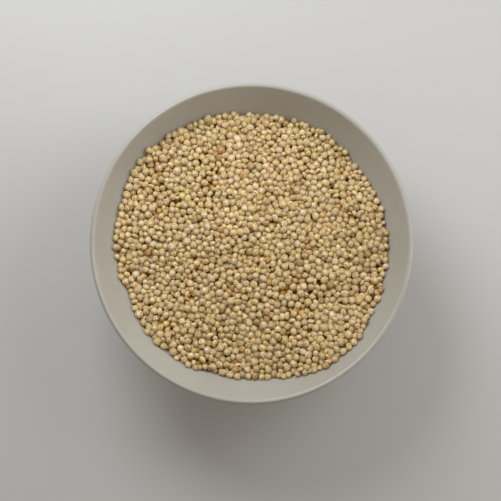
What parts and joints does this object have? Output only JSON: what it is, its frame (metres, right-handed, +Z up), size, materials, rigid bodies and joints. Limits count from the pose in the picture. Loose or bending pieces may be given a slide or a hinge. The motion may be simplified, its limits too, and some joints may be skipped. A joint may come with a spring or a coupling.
{
  "type": "dish of quinoa",
  "caption": "Small shallow glazed bowl on a foot ring, filled with raw quinoa grains that lie a little uneven below the rim.",
  "frame": {"origin": "centre of the foot ring's underside, on the surface that the bowl stands on", "axes": "+Z up along the bowl's axis; +X to the right and +Y away from the viewer as the bowl is first seen"},
  "size_m": [0.1, 0.1, 0.036],
  "materials": {
    "porcelain": "gloss",
    "quinoa": "matte"
  },
  "bodies": {
    "root": {"bowl": "porcelain", "quinoa": "quinoa"}
  },
  "joints": []
}
